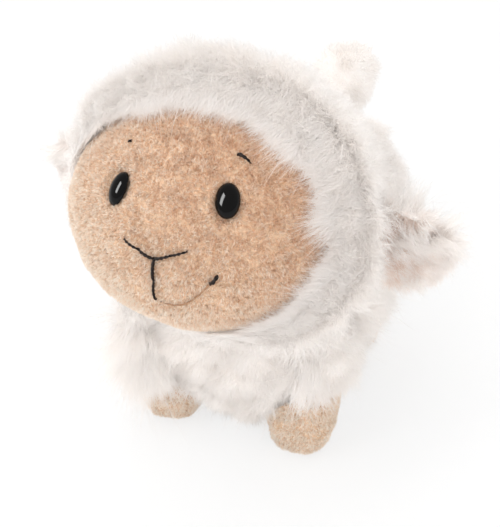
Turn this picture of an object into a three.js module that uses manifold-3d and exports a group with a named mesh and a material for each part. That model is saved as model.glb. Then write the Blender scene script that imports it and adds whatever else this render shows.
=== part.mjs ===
// Plush sheep: a standing stuffed toy with a wool-pile body and hood, a short-pile face and feet,
// hanging ears and a round tail. Millimetres, +Z up. The sheep looks along -Y and its left is +X.
// Sewn covers lie over their own stuffing, and neighbours keep one sewing gap between them.
import * as THREE from "three";
import { mergeVertices } from "three/addons/utils/BufferGeometryUtils.js";
import Module from "manifold-3d";

const wasm = await Module();
wasm.setup();

// Sewing
const seamGap = 0.3;
const shortPileWall = 2.6;
const cutReach = 400;

// Body
const bodyWidth = 108;
const bodyLength = 136;
const bodyHeight = 112;
const bodyRise = 62.5;
const bodyBack = 13;
const bodyTiltDegrees = 12;
const bodyWool = 8;
const bellySeamDrop = 30;
const bodySquareness = 2.4;
const chestSpreadShare = 0.08;
const bellyTaperShare = 0.38;
const chestDropShare = 0.12;

// Legs and feet
const frontLegSpread = 57;
const backLegSpread = 50;
const frontLegReach = 29;
const backLegReach = 44;
const footWidth = 29;
const legHeight = 52;
const footSquareness = 3;
const footSeamHeight = 31;
const soleFlat = 0.5;
const sleeveWidth = 37;
const sleeveHeight = 50;
const sleeveHang = 29;
const sleeveSplay = 4;

// Head
const headWidth = 104;
const headDepth = 95;
const headHeight = 85;
const headForward = 55;
const headRise = 124;
const faceSeamForward = 9;
const faceSeamTiltDegrees = 19.5;

// Hood
const hoodWidth = 119;
const hoodDepth = 104;
const hoodHeight = 106;
const hoodForward = 44;
const hoodRise = 125.5;
const hoodWool = 9;

// Ears
const earLength = 33;
const earWidth = 35;
const earRootWidth = 20;
const earWool = 3;
const earLiningWall = 1.8;
const earEdge = 0.7;
const earCup = 7;
const earRootForward = 28;
const earRootRise = 114;
const earSweepDegrees = 4;
const earDroopDegrees = 72;
const earBendLength = 22;
const earTwistDegrees = 16;
const earWidestShare = 0.56;
const earTipDegrees = 78;
const earRootStartDegrees = 5;

// Tail
const tailWidth = 33;
const tailLength = 40;
const tailWool = 6;
const tailRootAngleDegrees = 18;
const tailEggShare = 0.22;
const tailOpening = 4;
const tailSink = 0.1;

// Eyes
const eyeWidth = 8.6;
const eyeHeight = 12.4;
const eyeDome = 3.4;
const eyeSink = 1.3;
const eyeAcrossShare = 0.389;
const eyeRiseShare = 0.612;
const eyeLeanDegrees = -8;
const shankDiameter = 3.6;
const shankLength = 11;
const washerDiameter = 13;
const washerWall = 1.3;
const washerSlack = 0.7;

// Embroidery
const threadDiameter = 1.4;
const fineThreadDiameter = 0.9;
const noseRiseShare = 0.188;
const noseHalfWidthShare = 0.221;
const noseArmLiftShare = 0.106;
const noseDropShare = 0.412;
const smileHalfWidthShare = 0.414;
const smileCornerShare = 0.094;
const smileDipShare = 0.038;
const browInsetShare = 0.337;
const browRiseShare = 0.866;
const browLengthShare = 0.096;
const browFallShare = 0.052;

// Facet counts
const bodyRings = 12;
const bodySpokes = 20;
const headRings = 16;
const headSpokes = 24;
const limbRings = 8;
const limbSpokes = 12;
const eyeRings = 8;
const eyeSpokes = 16;
const threadSides = 6;
const noseSpans = 6;
const smileSpans = 20;
const browSpans = 3;
const earSpans = 4;
const earColumns = 6;
const earRootSpans = 2;

const colours = {
  wool: 0xebe5e0,
  face: 0xd9b292,
  foot: 0xdab895,
  lining: 0xd8c2b2,
  filling: 0xf4f2ee,
  eye: 0x0b0a0a,
  washer: 0xe6e2d8,
  thread: 0x231712,
};

const degrees = THREE.MathUtils.degToRad;

// A mesh's geometry as a solid
function solidFrom(geometry) {
  const bare = geometry.clone();
  bare.deleteAttribute("normal");
  bare.deleteAttribute("uv");
  const merged = mergeVertices(bare);
  const mesh = new wasm.Mesh({
    numProp: 3,
    vertProperties: merged.attributes.position.array,
    triVerts: new Uint32Array(merged.index.array),
  });
  return new wasm.Manifold(mesh);
}

// A solid back as a mesh's geometry
function geometryFrom(solid) {
  const mesh = solid.getMesh();
  const geometry = new THREE.BufferGeometry();
  geometry.setAttribute("position", new THREE.BufferAttribute(mesh.vertProperties, 3));
  geometry.setIndex(new THREE.BufferAttribute(mesh.triVerts, 1));
  geometry.computeVertexNormals();
  return geometry;
}

// A named mesh with its own material
function piece(name, geometry, colour, roughness) {
  const material = new THREE.MeshStandardMaterial({ color: colour, roughness, metalness: 0 });
  const mesh = new THREE.Mesh(geometry, material);
  mesh.name = name;
  return mesh;
}

// A unit ball with its poles on Y, each point moved by a shaping function
function shapedBall(rings, spokes, shape) {
  const ball = new THREE.SphereGeometry(1, spokes, rings);
  const points = ball.attributes.position;
  const point = new THREE.Vector3();
  for (let i = 0; i < points.count; i += 1) {
    point.fromBufferAttribute(points, i);
    shape(point);
    points.setXYZ(i, point.x, point.y, point.z);
  }
  return solidFrom(ball);
}

// Pushes a point of the unit ball out towards a rounded box
function square(point, squareness) {
  const powers = [point.x, point.y, point.z].map((v) => Math.abs(v) ** squareness);
  const sum = powers.reduce((total, value) => total + value);
  return point.multiplyScalar(sum ** (-1 / squareness));
}

// The half-space behind a plane, as one large block
function behind(origin, normal) {
  const block = new THREE.BoxGeometry(cutReach, cutReach, cutReach);
  block.translate(0, 0, -cutReach / 2);
  const turn = new THREE.Quaternion().setFromUnitVectors(new THREE.Vector3(0, 0, 1), normal);
  block.applyQuaternion(turn);
  block.translate(origin.x, origin.y, origin.z);
  return solidFrom(block);
}

// The half-space on the left (1) or right (-1) of the middle, short of it by half a seam gap
function sideOf(side) {
  const edge = new THREE.Vector3((side * seamGap) / 2, 0, 0);
  return behind(edge, new THREE.Vector3(-side, 0, 0));
}

// The body's placement: its middle over the legs, the rump tilted up
function bodyMatrix() {
  const matrix = new THREE.Matrix4().makeRotationX(degrees(bodyTiltDegrees));
  return matrix.setPosition(0, bodyBack, bodyRise);
}

// The body's outer form, grown by an offset: broad and deep at the chest, narrow under the belly
function bodyForm(offset) {
  const matrix = bodyMatrix();
  return shapedBall(bodyRings, bodySpokes, (point) => {
    square(point, bodySquareness);
    const spread = 1 - chestSpreadShare * point.y + bellyTaperShare * Math.min(point.z, 0);
    point.x *= (bodyWidth / 2 + offset) * spread;
    const drop = point.z < 0 ? 1 - chestDropShare * point.y : 1;
    point.y *= bodyLength / 2 + offset;
    point.z *= (bodyHeight / 2 + offset) * drop;
    point.applyMatrix4(matrix);
  });
}

// The body cover's three panels and the filling
function makeBody() {
  const shell = bodyForm(0).subtract(bodyForm(-bodyWool));
  const up = new THREE.Vector3(0, 0, 1).transformDirection(bodyMatrix());
  const seam = new THREE.Vector3(0, bodyBack, bodyRise - bellySeamDrop);
  const below = behind(seam, up);
  const notBelow = behind(seam.clone().addScaledVector(up, seamGap), up);
  const upper = shell.subtract(notBelow);
  const left = upper.intersect(sideOf(1));
  const right = upper.intersect(sideOf(-1));
  const body = new THREE.Group();
  body.add(piece("body_left_panel", geometryFrom(left), colours.wool, 1));
  body.add(piece("body_right_panel", geometryFrom(right), colours.wool, 1));
  body.add(piece("belly_panel", geometryFrom(shell.intersect(below)), colours.wool, 1));
  const filling = bodyForm(-bodyWool - seamGap);
  body.add(piece("body_stuffing", geometryFrom(filling), colours.filling, 1));
  return body;
}

// A leg's column from the sole up, its poles on Z, grown by an offset
function legForm(offset) {
  return shapedBall(limbRings, limbSpokes, (point) => {
    point.set(point.x, -point.z, point.y);
    square(point, footSquareness);
    point.x *= footWidth / 2 + offset;
    point.y *= footWidth / 2 + offset;
    point.z *= legHeight / 2 + offset;
    point.z += legHeight / 2 - soleFlat;
  });
}

// The wool sleeve's outer form round the top of a leg, swelling out to its side
function sleeveForm(side) {
  return shapedBall(limbRings, limbSpokes, (point) => {
    point.set(point.x, -point.z, point.y);
    point.x *= sleeveWidth / 2;
    point.x += side * sleeveSplay;
    point.y *= sleeveWidth / 2;
    point.z *= sleeveHeight / 2;
    point.z += sleeveHang + sleeveHeight / 2;
  });
}

// One leg: the foot's cup, the sleeve above it and the filling, all cut by the body
function makeLeg(name, side, x, y) {
  const leg = new THREE.Group();
  leg.position.set(x, y, 0);
  const up = new THREE.Vector3(0, 0, 1);
  const bodyCut = bodyForm(seamGap).translate(-x, -y, 0);
  const ground = behind(new THREE.Vector3(), up);
  const belowSeam = behind(new THREE.Vector3(0, 0, footSeamHeight), up);
  const filling = legForm(-shortPileWall - seamGap).subtract(bodyCut);
  const fillingCut = legForm(-shortPileWall);
  const foot = legForm(0).subtract(ground).intersect(belowSeam).subtract(fillingCut).subtract(bodyCut);
  const footCut = legForm(seamGap).intersect(belowSeam.translate(0, 0, seamGap));
  const sleeve = sleeveForm(side).subtract(fillingCut).subtract(footCut).subtract(bodyCut);
  leg.add(piece(`${name}_foot`, geometryFrom(foot), colours.foot, 0.95));
  leg.add(piece(`${name}_leg_sleeve`, geometryFrom(sleeve), colours.wool, 1));
  leg.add(piece(`${name}_leg_stuffing`, geometryFrom(filling), colours.filling, 1));
  return leg;
}

// The head's short-pile form, grown by an offset
function headForm(offset) {
  return shapedBall(headRings, headSpokes, (point) => {
    point.x *= headWidth / 2 + offset;
    point.y *= headDepth / 2 + offset;
    point.z *= headHeight / 2 + offset;
    point.y -= headForward;
    point.z += headRise;
  });
}

// The hood's wool form, grown by an offset
function hoodForm(offset) {
  return shapedBall(bodyRings, bodySpokes, (point) => {
    point.x *= hoodWidth / 2 + offset;
    point.y *= hoodDepth / 2 + offset;
    point.z *= hoodHeight / 2 + offset;
    point.y -= hoodForward;
    point.z += hoodRise;
  });
}

// The half-space behind the seam between face and hood, moved back by an offset
function behindFaceSeam(offset) {
  const tilt = degrees(faceSeamTiltDegrees);
  const normal = new THREE.Vector3(0, -Math.cos(tilt), Math.sin(tilt));
  const origin = new THREE.Vector3(0, -headForward - faceSeamForward, headRise);
  return behind(origin.addScaledVector(normal, -offset), normal);
}

// The head's filling, grown by an offset: the face's ball joined to the hood's
function headFilling(offset) {
  const front = headForm(offset - shortPileWall - seamGap);
  const back = hoodForm(offset - hoodWool - seamGap);
  return front.add(back.intersect(behindFaceSeam(hoodWool - offset)));
}

// A place on the face, at shares of the head's half width and half height from its centre
function onFace(acrossShare, riseShare) {
  const depthShare = Math.sqrt(1 - acrossShare ** 2 - riseShare ** 2);
  return new THREE.Vector3(
    (acrossShare * headWidth) / 2,
    -headForward - (depthShare * headDepth) / 2,
    headRise + (riseShare * headHeight) / 2,
  );
}

// The outward direction at a place on the face
function faceNormal(place) {
  return new THREE.Vector3(
    place.x / (headWidth / 2) ** 2,
    (place.y + headForward) / (headDepth / 2) ** 2,
    (place.z - headRise) / (headHeight / 2) ** 2,
  ).normalize();
}

// The placement of one eye: its local Z points out of the face
function eyeMatrix(side) {
  const place = onFace(side * eyeAcrossShare, eyeRiseShare);
  const normal = faceNormal(place);
  const lean = new THREE.Vector3(-side * Math.sin(degrees(eyeLeanDegrees)), 0, 1);
  const across = new THREE.Vector3().crossVectors(lean, normal).normalize();
  const up = new THREE.Vector3().crossVectors(normal, across);
  const matrix = new THREE.Matrix4().makeBasis(across, up, normal);
  return matrix.setPosition(place.addScaledVector(normal, -eyeSink));
}

// A moulded oval dome on a shank, grown by an offset
function eyeForm(offset) {
  const dome = shapedBall(eyeRings, eyeSpokes, (point) => {
    point.x *= eyeWidth / 2 + offset;
    point.y *= eyeHeight / 2 + offset;
    point.z *= point.z > 0 ? eyeDome + offset : eyeSink + offset;
  });
  const radius = shankDiameter / 2 + offset;
  const shank = new THREE.CylinderGeometry(radius, radius, shankLength + offset, eyeSpokes);
  shank.rotateX(Math.PI / 2);
  shank.translate(0, 0, -(shankLength + offset) / 2);
  return dome.add(solidFrom(shank));
}

// The lock washer's disc, pressed on the shank behind the cloth
function washerForm() {
  const radius = washerDiameter / 2;
  const disc = new THREE.CylinderGeometry(radius, radius, washerWall, eyeSpokes);
  disc.rotateX(Math.PI / 2);
  disc.translate(0, 0, -washerDepth());
  return solidFrom(disc);
}

// The pocket in the filling that the washer sits in, open to the cloth
function washerPocket() {
  const radius = washerDiameter / 2 + seamGap;
  const depth = washerDepth() + washerWall / 2 + seamGap;
  const pocket = new THREE.CylinderGeometry(radius, radius, depth, eyeSpokes);
  pocket.rotateX(Math.PI / 2);
  pocket.translate(0, 0, -depth / 2);
  return solidFrom(pocket);
}

// How far the washer's middle lies behind the eye's seat
function washerDepth() {
  const sagitta = (washerDiameter / 2) ** 2 / headDepth;
  return shortPileWall - eyeSink + seamGap + sagitta + washerSlack + washerWall / 2;
}

// A solid placed by a matrix
function placed(solid, matrix) {
  return solid.transform(matrix.elements);
}

// The face's two panels, the hood's two panels and the filling, cut by the body
function makeHeadCovers(bodyCut) {
  const eyes = [-1, 1].map((side) => eyeMatrix(side));
  const face = eyes.reduce(
    (solid, matrix) => solid.subtract(placed(eyeForm(seamGap), matrix)),
    headForm(0).subtract(headFilling(seamGap)).subtract(behindFaceSeam(0)).subtract(bodyCut),
  );
  const hood = hoodForm(0)
    .intersect(behindFaceSeam(seamGap))
    .subtract(headFilling(seamGap))
    .subtract(bodyCut);
  const filling = eyes.reduce(
    (solid, matrix) =>
      solid.subtract(placed(eyeForm(seamGap), matrix)).subtract(placed(washerPocket(), matrix)),
    headFilling(0).subtract(bodyCut),
  );
  const covers = new THREE.Group();
  for (const [word, side] of [["left", 1], ["right", -1]]) {
    const half = sideOf(side);
    covers.add(piece(`face_${word}_panel`, geometryFrom(face.intersect(half)), colours.face, 0.95));
    covers.add(piece(`hood_${word}_panel`, geometryFrom(hood.intersect(half)), colours.wool, 1));
  }
  covers.add(piece("head_stuffing", geometryFrom(filling), colours.filling, 1));
  return covers;
}

// One eye with its lock washer
function makeEye(word, side) {
  const eye = new THREE.Group();
  const matrix = eyeMatrix(side);
  matrix.decompose(eye.position, eye.quaternion, eye.scale);
  const shank = new THREE.CylinderGeometry(
    shankDiameter / 2 + seamGap / 2,
    shankDiameter / 2 + seamGap / 2,
    shankLength * 2,
    eyeSpokes,
  );
  shank.rotateX(Math.PI / 2);
  const washer = washerForm().subtract(solidFrom(shank));
  eye.add(piece(`${word}_eye`, geometryFrom(eyeForm(0)), colours.eye, 0.08));
  eye.add(piece(`${word}_eye_washer`, geometryFrom(washer), colours.washer, 0.5));
  return eye;
}

// A stitch: one thread laid on the face through the given places
function stitch(places, diameter, steps) {
  const lift = diameter / 2 + seamGap;
  const points = places.map(([acrossShare, riseShare]) => {
    const place = onFace(acrossShare, riseShare);
    return place.addScaledVector(faceNormal(place), lift);
  });
  const path = new THREE.CatmullRomCurve3(points);
  const section = new THREE.Shape();
  section.absarc(0, 0, diameter / 2, 0, Math.PI * 2, false);
  const tube = new THREE.ExtrudeGeometry(section, {
    steps,
    curveSegments: threadSides,
    bevelEnabled: false,
    extrudePath: path,
  });
  return solidFrom(tube);
}

// Places along a straight line on the face
function lineOf(from, to, count) {
  const places = [];
  for (let i = 0; i <= count; i += 1) {
    const share = i / count;
    places.push([from[0] + (to[0] - from[0]) * share, from[1] + (to[1] - from[1]) * share]);
  }
  return places;
}

// The nose's Y of thick thread
function noseStitch() {
  const junction = [0, noseRiseShare];
  const arms = [-1, 1].map((side) => {
    const end = [side * noseHalfWidthShare, noseRiseShare + noseArmLiftShare];
    return stitch(lineOf(end, junction, noseSpans), threadDiameter, noseSpans);
  });
  const foot = [0, noseRiseShare - noseDropShare];
  const drop = stitch(lineOf(junction, foot, noseSpans), threadDiameter, noseSpans);
  return drop.add(arms[0]).add(arms[1]);
}

// The smile's fine thread, hanging in an arc from corner to corner under the nose
function smileStitch() {
  const clear = (threadDiameter + seamGap) / (headHeight / 2);
  const low = noseRiseShare - noseDropShare - clear;
  const places = [];
  for (let i = 0; i <= smileSpans; i += 1) {
    const share = (2 * i) / smileSpans - 1;
    const lift = share ** 2 * (smileCornerShare - low);
    const dip = smileDipShare * Math.sin(Math.PI * Math.abs(share)) ** 2;
    places.push([share * smileHalfWidthShare, low + lift - dip]);
  }
  return stitch(places, fineThreadDiameter, smileSpans);
}

// The embroidered nose, smile and brows
function makeEmbroidery() {
  const threads = new THREE.Group();
  threads.add(piece("nose_stitch", geometryFrom(noseStitch()), colours.thread, 0.6));
  threads.add(piece("smile_stitch", geometryFrom(smileStitch()), colours.thread, 0.6));
  for (const [word, side] of [["left", 1], ["right", -1]]) {
    const from = [side * browInsetShare, browRiseShare];
    const to = [side * (browInsetShare + browLengthShare), browRiseShare - browFallShare];
    const brow = stitch(lineOf(from, to, browSpans), threadDiameter, browSpans);
    threads.add(piece(`${word}_brow_stitch`, geometryFrom(brow), colours.thread, 0.6));
  }
  return threads;
}

// Rows along an ear: distance from the hinge line, half width and how full the layers are
function earRows() {
  const rows = [];
  for (let i = 0; i <= earRootSpans; i += 1) {
    const turn = degrees(earRootStartDegrees + ((90 - earRootStartDegrees) * i) / earRootSpans);
    rows.push({ out: -earWool * Math.cos(turn), half: earRootWidth / 2, full: Math.sin(turn) });
  }
  const widest = earLength * earWidestShare;
  for (let i = 1; i <= earSpans; i += 1) {
    const share = i / earSpans;
    const swell = share * share * (3 - 2 * share);
    const half = earRootWidth / 2 + ((earWidth - earRootWidth) / 2) * swell;
    rows.push({ out: widest * share, half, full: 1 });
  }
  for (let i = 1; i <= earSpans; i += 1) {
    const turn = (degrees(earTipDegrees) * i) / earSpans;
    const out = widest + (earLength - widest) * Math.sin(turn);
    rows.push({ out, half: (earWidth / 2) * Math.cos(turn), full: 1 });
  }
  return rows;
}

// A place on the drooping, twisted ear: out along its middle, up across it and off its middle surface
function onEar(out, height, offset) {
  const run = Math.min(Math.max(out, 0), earBendLength);
  const droop = (degrees(earDroopDegrees) * run) / earBendLength;
  const twist = (degrees(earTwistDegrees) * run) / earBendLength;
  const radius = earBendLength / degrees(earDroopDegrees);
  const rise = height * Math.cos(twist) - offset * Math.sin(twist);
  const past = out - run;
  const x = (radius + rise) * Math.sin(droop) + past * Math.cos(droop);
  const z = (radius + rise) * Math.cos(droop) - radius - past * Math.sin(droop);
  return [x, height * Math.sin(twist) + offset * Math.cos(twist), z];
}

// One layer of an ear between two offsets from its middle surface; side 1 is the wool, -1 the lining
function earLayer(side, wall) {
  const rows = earRows();
  const points = [];
  for (const face of [0, 1]) {
    for (const row of rows) {
      for (let j = 0; j <= earColumns; j += 1) {
        const across = (2 * j) / earColumns - 1;
        const along = Math.max(row.out, 0) / earLength;
        const cup = earCup * across * across * Math.sin(Math.PI * Math.sqrt(along));
        const wallHere = earEdge + (wall - earEdge) * row.full * Math.sqrt(1 - across ** 4);
        const offset = side * (seamGap / 2 + face * wallHere);
        points.push(...onEar(row.out, across * row.half, offset - cup));
      }
    }
  }
  return gridSolid(points, rows.length, earColumns + 1, side);
}

// A closed body from two point grids that face away from each other
function gridSolid(points, rowCount, columnCount, side) {
  const indices = [];
  const at = (face, i, j) => face * rowCount * columnCount + i * columnCount + j;
  const quad = (a, b, c, d) => indices.push(a, b, c, a, c, d);
  for (let i = 0; i < rowCount - 1; i += 1) {
    for (let j = 0; j < columnCount - 1; j += 1) {
      quad(at(0, i, j), at(0, i + 1, j), at(0, i + 1, j + 1), at(0, i, j + 1));
      quad(at(1, i, j), at(1, i, j + 1), at(1, i + 1, j + 1), at(1, i + 1, j));
    }
    quad(at(0, i, 0), at(1, i, 0), at(1, i + 1, 0), at(0, i + 1, 0));
    const j = columnCount - 1;
    quad(at(0, i, j), at(0, i + 1, j), at(1, i + 1, j), at(1, i, j));
  }
  for (let j = 0; j < columnCount - 1; j += 1) {
    quad(at(0, 0, j), at(0, 0, j + 1), at(1, 0, j + 1), at(1, 0, j));
    const i = rowCount - 1;
    quad(at(0, i, j), at(1, i, j), at(1, i, j + 1), at(0, i, j + 1));
  }
  if (side < 0) indices.reverse();
  const geometry = new THREE.BufferGeometry();
  geometry.setAttribute("position", new THREE.Float32BufferAttribute(points, 3));
  geometry.setIndex(indices);
  return geometry;
}

// An ear's placement on the left of the hood: local X out, local Z up along the root seam
function earMatrix() {
  const y = (hoodForward - earRootForward) / (hoodDepth / 2);
  const z = (earRootRise - hoodRise) / (hoodHeight / 2);
  const x = Math.sqrt(1 - y * y - z * z);
  const out = new THREE.Vector3(x / hoodWidth, y / hoodDepth, z / hoodHeight).normalize();
  const up = new THREE.Vector3(0, 0, 1).addScaledVector(out, -out.z).normalize();
  const root = new THREE.Vector3((x * hoodWidth) / 2, -earRootForward, earRootRise);
  root.addScaledVector(out, seamGap + earWool);
  out.applyAxisAngle(up, degrees(earSweepDegrees));
  const back = new THREE.Vector3().crossVectors(up, out);
  return new THREE.Matrix4().makeBasis(out, back, up).setPosition(root);
}

// One ear, hinged on its root seam; the right one mirrors the left
function makeEar(word, side) {
  const ear = new THREE.Group();
  earMatrix().decompose(ear.position, ear.quaternion, ear.scale);
  ear.add(piece(`${word}_ear_back`, earLayer(1, earWool), colours.wool, 1));
  ear.add(piece(`${word}_ear_lining`, earLayer(-1, earLiningWall), colours.lining, 0.95));
  const mirror = new THREE.Group();
  mirror.scale.x = side;
  mirror.add(ear);
  return mirror;
}

// The tail's egg along its local Z from its root, grown by an offset
function tailForm(offset) {
  return shapedBall(limbRings, limbSpokes, (point) => {
    const swell = 1 + tailEggShare * point.y;
    point.x *= (tailWidth / 2 + offset) * swell;
    point.z *= (tailWidth / 2 + offset) * swell;
    point.y *= tailLength / 2 + offset;
    point.y += tailLength / 2;
  });
}

// The tail's placement on the rump: local Y out of the rump, local Z up along it
function tailMatrix() {
  const angle = degrees(tailRootAngleDegrees);
  const root = square(new THREE.Vector3(0, Math.cos(angle), Math.sin(angle)), bodySquareness);
  const power = bodySquareness - 1;
  const out = new THREE.Vector3(0, root.y ** power / bodyLength, root.z ** power / bodyHeight);
  out.normalize();
  root.multiply(new THREE.Vector3(1, bodyLength / 2, bodyHeight / 2)).addScaledVector(out, -tailSink);
  const turn = new THREE.Matrix4().makeRotationX(Math.atan2(out.z, out.y)).setPosition(root);
  return turn.premultiply(bodyMatrix());
}

// The tail: a wool cover open at its root, and its filling
function makeTail() {
  const tail = new THREE.Group();
  tailMatrix().decompose(tail.position, tail.quaternion, tail.scale);
  const radius = tailOpening / 2;
  const opening = new THREE.CylinderGeometry(radius, radius, tailWool * 2, limbSpokes);
  opening.translate(0, tailWool, 0);
  const cover = tailForm(0).subtract(tailForm(-tailWool)).subtract(solidFrom(opening));
  tail.add(piece("tail_cover", geometryFrom(cover), colours.wool, 1));
  tail.add(piece("tail_stuffing", geometryFrom(tailForm(-tailWool - seamGap)), colours.filling, 1));
  return tail;
}

// The head: its covers cut by the body, the embroidery, the eyes and the ears
function makeHead() {
  const head = new THREE.Group();
  head.add(makeHeadCovers(bodyForm(seamGap)), makeEmbroidery());
  for (const [word, side] of [["left", 1], ["right", -1]]) {
    head.add(makeEye(word, side), makeEar(word, side));
  }
  return head;
}

// The whole toy, standing on the ground with its box centred on the origin
function makeSheep() {
  const sheep = new THREE.Group();
  sheep.add(makeBody(), makeHead(), makeTail());
  for (const [word, side] of [["left", 1], ["right", -1]]) {
    sheep.add(makeLeg(`front_${word}`, side, (side * frontLegSpread) / 2, -frontLegReach));
    sheep.add(makeLeg(`back_${word}`, side, (side * backLegSpread) / 2, backLegReach));
  }
  sheep.updateMatrixWorld(true);
  const box = new THREE.Box3().setFromObject(sheep, true);
  const centre = box.getCenter(new THREE.Vector3());
  sheep.position.set(-centre.x, -centre.y, 0);
  return sheep;
}

export default makeSheep();
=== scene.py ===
"""A stuffed toy sheep dressed round its CAD model: wool pile, short pile, moulded eyes and sewn features."""

import math

import bpy
import numpy as np
from bpy.props import FloatProperty, FloatVectorProperty, IntProperty, PointerProperty
from mathutils import Matrix, Vector
from mathutils.bvhtree import BVHTree


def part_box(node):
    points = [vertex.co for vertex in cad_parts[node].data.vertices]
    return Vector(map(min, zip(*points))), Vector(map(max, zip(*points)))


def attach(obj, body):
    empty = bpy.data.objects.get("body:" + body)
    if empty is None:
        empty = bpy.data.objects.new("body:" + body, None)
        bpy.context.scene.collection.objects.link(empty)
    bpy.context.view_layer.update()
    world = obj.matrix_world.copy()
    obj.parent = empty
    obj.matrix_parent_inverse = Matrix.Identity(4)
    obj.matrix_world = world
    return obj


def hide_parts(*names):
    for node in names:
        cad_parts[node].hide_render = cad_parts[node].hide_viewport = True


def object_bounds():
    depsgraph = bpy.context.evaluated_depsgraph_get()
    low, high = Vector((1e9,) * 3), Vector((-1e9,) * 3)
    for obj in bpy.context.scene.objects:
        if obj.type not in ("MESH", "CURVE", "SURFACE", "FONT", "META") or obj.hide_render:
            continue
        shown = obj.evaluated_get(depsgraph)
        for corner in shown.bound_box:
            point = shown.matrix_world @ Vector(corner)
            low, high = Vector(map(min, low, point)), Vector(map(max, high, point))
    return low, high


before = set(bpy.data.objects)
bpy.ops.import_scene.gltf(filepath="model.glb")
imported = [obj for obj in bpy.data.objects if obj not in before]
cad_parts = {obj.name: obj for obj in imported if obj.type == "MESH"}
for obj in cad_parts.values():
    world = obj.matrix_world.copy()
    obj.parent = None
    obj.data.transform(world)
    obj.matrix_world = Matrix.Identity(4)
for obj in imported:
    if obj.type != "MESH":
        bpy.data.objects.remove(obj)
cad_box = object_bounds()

bl_info = {
    "name": "Plush sheep",
    "version": (1, 0, 0),
    "blender": (4, 5, 0),
    "location": "3D View > Sidebar > Sheep",
    "description": "Dresses the sheep's CAD frame with pile, eyes and stitches",
    "category": "Object",
}

MM = 0.001
LIMBS = ("front_left", "front_right", "back_left", "back_right")
SIDES = {"left": 1, "right": -1}
BODY_PANELS = ["body_left_panel", "body_right_panel", "belly_panel"]
FACE_PANELS = ["face_left_panel", "face_right_panel"]
HOOD_PANELS = ["hood_left_panel", "hood_right_panel"]
SLEEVES = [f"{limb}_leg_sleeve" for limb in LIMBS]
WOOL = "Acrylic wool pile"
SHORT = "Sheared polyester pile"
THREAD = "Rayon embroidery thread"
# Pile with more faces than this is made as several pieces.
MOST_FACES = 190000
# Strands that pass the CAD box by more than this are drawn in.
PAST_BOX = 8 * MM
# How large the lumps of filling under the wool, the clumps of longer wool and its swirls are.
FILLING_LUMP, WOOL_CLUMP, WOOL_SWIRL = 15 * MM, 12 * MM, 26 * MM


def linear(hex_colour):
    """An sRGB hex colour as linear RGB."""
    shares = (int(hex_colour[i : i + 2], 16) / 255 for i in (0, 2, 4))
    return tuple(v / 12.92 if v <= 0.04045 else ((v + 0.055) / 1.055) ** 2.4 for v in shares)


def number_of(name, default, description, **limits):
    return FloatProperty(name=name, description=description, default=default, **limits)


def count_of(name, default, description):
    return IntProperty(name=name, description=description, default=default)


def length_of(name, mm, description):
    return number_of(name, mm * MM, description, min=0, unit="LENGTH", precision=5)


def share_of(name, default, description):
    return number_of(name, default, description, min=0, max=1, subtype="FACTOR")


def colour_of(name, hex_colour, description):
    return FloatVectorProperty(
        name=name, description=description, default=linear(hex_colour), size=3, min=0, max=1, subtype="COLOR"
    )


class SheepPile(bpy.types.PropertyGroup):
    wool_length: length_of("Wool length", 10.5, "Length of a wool strand on the body and hood")
    wool_width: length_of("Wool strand width", 0.2, "Width of a wool strand at its root")
    wool_depth: length_of("Backing depth", 4.4, "How far the wool's backing lies under the CAD surface")
    tuft_spread: length_of("Tuft spread", 4.0, "Radius that one tuft's roots cover")
    tuft_area: number_of("Tuft area", 9.0, "Backing area of one tuft, in mm2", min=1)
    tuft_strands: count_of("Strands in a tuft", 42, "Strands that one wool tuft holds")
    short_length: length_of("Short pile length", 1.5, "Length of a strand on the face and feet")
    short_width: length_of("Short strand width", 0.3, "Width of a short strand at its root")
    short_depth: length_of("Short backing depth", 1.2, "How far this pile's backing lies under the CAD surface")
    short_area: number_of("Short tuft area", 0.48, "Backing area of one short tuft, in mm2", min=0.2)
    short_strands: count_of("Strands in a short tuft", 5, "Strands that one short tuft holds")
    seed: count_of("Seed", 11, "Start of the random numbers")


class SheepColours(bpy.types.PropertyGroup):
    wool_tip: colour_of("Wool tip", "FFFEFD", "Light strands of the wool")
    wool_root: colour_of("Wool root", "FFFBF8", "Dark strands of the wool and its backing")
    face_light: colour_of("Face light", "FFF9F0", "Light grains of the face's short pile")
    face_dark: colour_of("Face dark", "ECCBAC", "Dark grains of the face's short pile")
    lining_light: colour_of("Lining light", "FFFCFA", "Lining towards the rim of the ear")
    # The lining's darker colour is painted shade, used in the hollow of the ear.
    lining_hollow_shade: colour_of("Lining dark", "EAD3C3", "Lining in the hollow of the ear")
    thread: colour_of("Thread", "1C0E08", "Embroidery thread")
    # The crease thread is darker than the face: partly the thread's dye, partly painted shade in the crease.
    crease_thread_and_shade: colour_of("Tonal thread", "C09572", "Thread of the smile's crease")
    eye: colour_of("Eye", "060505", "Moulded eyes")
    washer: colour_of("Washer", "E6E2D8", "Lock washers behind the eyes")
    backdrop: colour_of("Backdrop", "FCFCFC", "Floor")


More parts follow.
